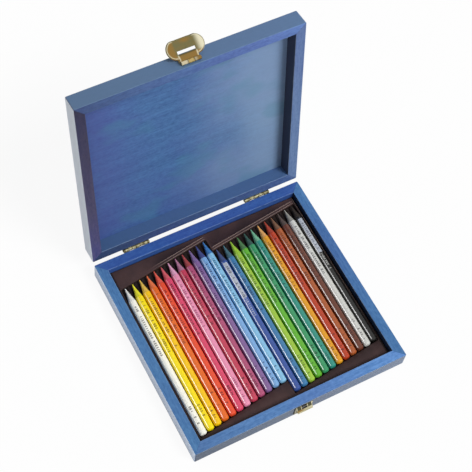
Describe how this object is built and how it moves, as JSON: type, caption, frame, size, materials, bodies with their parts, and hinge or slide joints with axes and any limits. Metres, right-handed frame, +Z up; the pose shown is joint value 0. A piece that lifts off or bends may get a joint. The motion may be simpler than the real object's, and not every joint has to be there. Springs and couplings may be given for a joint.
{
  "type": "pencil case",
  "caption": "Hinged wooden pencil case that stands open, with a staggered tray of round coloured pencils and a brass snap clasp.",
  "frame": {"origin": "centre of the base's underside, on the surface that the case stands on", "axes": "+Z up, +Y towards the hinges at the back, +X to the right of someone who faces the clasp's catch"},
  "size_m": [0.214, 0.2668, 0.2282],
  "materials": {
    "stained_frame": "blue-stained solid wood, satin",
    "stained_panel": "blue-stained thin board, matt",
    "tray_plastic": "thermoformed dark brown sheet",
    "hinge_brass": "bright-rolled brass",
    "clasp_brass": "pale satin brass",
    "catch_brass": "dulled brass",
    "pencil_white": "glossy lacquer over a solid coloured core, matt on the bare cone",
    "pencil_yellow": "glossy lacquer over a solid coloured core, matt on the bare cone",
    "pencil_golden_yellow": "glossy lacquer over a solid coloured core, matt on the bare cone",
    "pencil_orange": "glossy lacquer over a solid coloured core, matt on the bare cone",
    "pencil_red_orange": "glossy lacquer over a solid coloured core, matt on the bare cone",
    "pencil_crimson": "glossy lacquer over a solid coloured core, matt on the bare cone",
    "pencil_pink": "glossy lacquer over a solid coloured core, matt on the bare cone",
    "pencil_carmine": "glossy lacquer over a solid coloured core, matt on the bare cone",
    "pencil_magenta": "glossy lacquer over a solid coloured core, matt on the bare cone",
    "pencil_violet": "glossy lacquer over a solid coloured core, matt on the bare cone",
    "pencil_periwinkle": "glossy lacquer over a solid coloured core, matt on the bare cone",
    "pencil_sky_blue": "glossy lacquer over a solid coloured core, matt on the bare cone",
    "pencil_ultramarine": "glossy lacquer over a solid coloured core, matt on the bare cone",
    "pencil_mid_blue": "glossy lacquer over a solid coloured core, matt on the bare cone",
    "pencil_yellow_green": "glossy lacquer over a solid coloured core, matt on the bare cone",
    "pencil_green": "glossy lacquer over a solid coloured core, matt on the bare cone",
    "pencil_sea_green": "glossy lacquer over a solid coloured core, matt on the bare cone",
    "pencil_teal": "glossy lacquer over a solid coloured core, matt on the bare cone",
    "pencil_ochre": "glossy lacquer over a solid coloured core, matt on the bare cone",
    "pencil_rust_red": "glossy lacquer over a solid coloured core, matt on the bare cone",
    "pencil_orange_brown": "glossy lacquer over a solid coloured core, matt on the bare cone",
    "pencil_dark_brown": "glossy lacquer over a solid coloured core, matt on the bare cone",
    "pencil_silver_grey": "glossy lacquer over a solid coloured core, matt on the bare cone",
    "pencil_black": "glossy lacquer over a solid coloured core, matt on the bare cone"
  },
  "bodies": {
    "root": {"base_back_rail": "stained_frame", "base_bottom_panel": "stained_panel", "base_front_rail": "stained_frame", "base_hinge_screws": "hinge_brass", "base_left_rail": "stained_frame", "base_right_rail": "stained_frame", "catch_nails": "catch_brass", "catch_plate": "catch_brass", "left_hinge_base_leaf": "hinge_brass", "left_hinge_pin": "hinge_brass", "pencil_01_white": "pencil_white", "pencil_02_yellow": "pencil_yellow", "pencil_03_golden_yellow": "pencil_golden_yellow", "pencil_04_orange": "pencil_orange", "pencil_05_red_orange": "pencil_red_orange", "pencil_06_crimson": "pencil_crimson", "pencil_07_pink": "pencil_pink", "pencil_08_carmine": "pencil_carmine", "pencil_09_magenta": "pencil_magenta", "pencil_10_violet": "pencil_violet", "pencil_11_periwinkle": "pencil_periwinkle", "pencil_12_sky_blue": "pencil_sky_blue", "pencil_13_ultramarine": "pencil_ultramarine", "pencil_14_mid_blue": "pencil_mid_blue", "pencil_15_yellow_green": "pencil_yellow_green", "pencil_16_green": "pencil_green", "pencil_17_sea_green": "pencil_sea_green", "pencil_18_teal": "pencil_teal", "pencil_19_ochre": "pencil_ochre", "pencil_20_rust_red": "pencil_rust_red", "pencil_21_orange_brown": "pencil_orange_brown", "pencil_22_dark_brown": "pencil_dark_brown", "pencil_23_silver_grey": "pencil_silver_grey", "pencil_24_black": "pencil_black", "pencil_tray": "tray_plastic", "right_hinge_base_leaf": "hinge_brass", "right_hinge_pin": "hinge_brass"},
    "lid": {"clasp_nails": "clasp_brass", "clasp_pin": "clasp_brass", "clasp_plate": "clasp_brass", "left_hinge_lid_leaf": "hinge_brass", "lid_back_rail": "stained_frame", "lid_front_rail": "stained_frame", "lid_hinge_screws": "hinge_brass", "lid_left_rail": "stained_frame", "lid_right_rail": "stained_frame", "lid_top_panel": "stained_panel", "right_hinge_lid_leaf": "hinge_brass"},
    "clasp": {"clasp_lever": "clasp_brass"}
  },
  "joints": [
    {"name": "lid_hinge", "type": "hinge", "parent": "root", "child": "lid", "pos_m": [0, 0.10325, 0.01735], "axis": [1, 0, 0], "range_deg": [0, 99.4]},
    {"name": "clasp_hinge", "type": "hinge", "parent": "lid", "child": "clasp", "pos_m": [0, 0.14079, 0.22055], "axis": [1, 0, 0], "range_deg": [-6, 145]}
  ]
}
